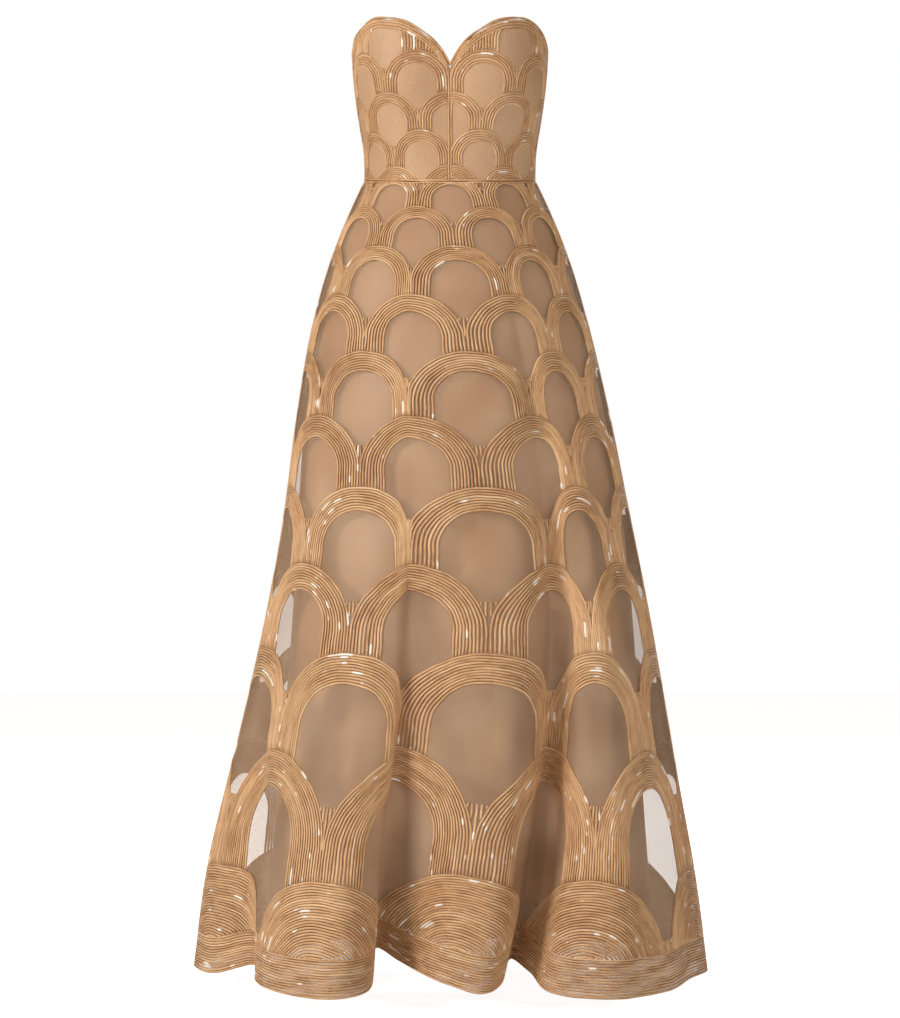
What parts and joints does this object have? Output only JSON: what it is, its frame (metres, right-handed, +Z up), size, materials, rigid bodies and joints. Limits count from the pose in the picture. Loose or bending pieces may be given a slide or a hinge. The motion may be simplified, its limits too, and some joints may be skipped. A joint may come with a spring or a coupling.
{
  "type": "bustier gown",
  "caption": "Strapless floor-length gown with a sweetheart bustier bodice, corded bands and a full net skirt over a narrower opaque lining",
  "frame": {"origin": "the middle of the waistline, where the wearer holds the gown up", "axes": "+Z up along the body, the longest extent; the front of the gown faces -Y; +X is the right side of the front view"},
  "size_m": [0.6996, 0.6713, 1.2877],
  "materials": {
    "bodice_cloth": "tan crepe with raised cording",
    "corded_net": "sheer tan net with raised cording",
    "lining_cloth": "opaque tan satin lining",
    "cord": "rolled cord with a soft shine",
    "zip_tape": "woven tape, matt"
  },
  "bodies": {
    "root": {"bodice_front_left": "bodice_cloth", "bodice_front_right": "bodice_cloth", "bodice_back_left": "bodice_cloth", "bodice_back_right": "bodice_cloth", "skirt_front": "corded_net", "skirt_back_left": "corded_net", "skirt_back_right": "corded_net", "lining_front": "lining_cloth", "lining_back": "lining_cloth", "neckline_cord": "cord", "waist_cord": "cord", "back_zip": "zip_tape"}
  },
  "joints": []
}
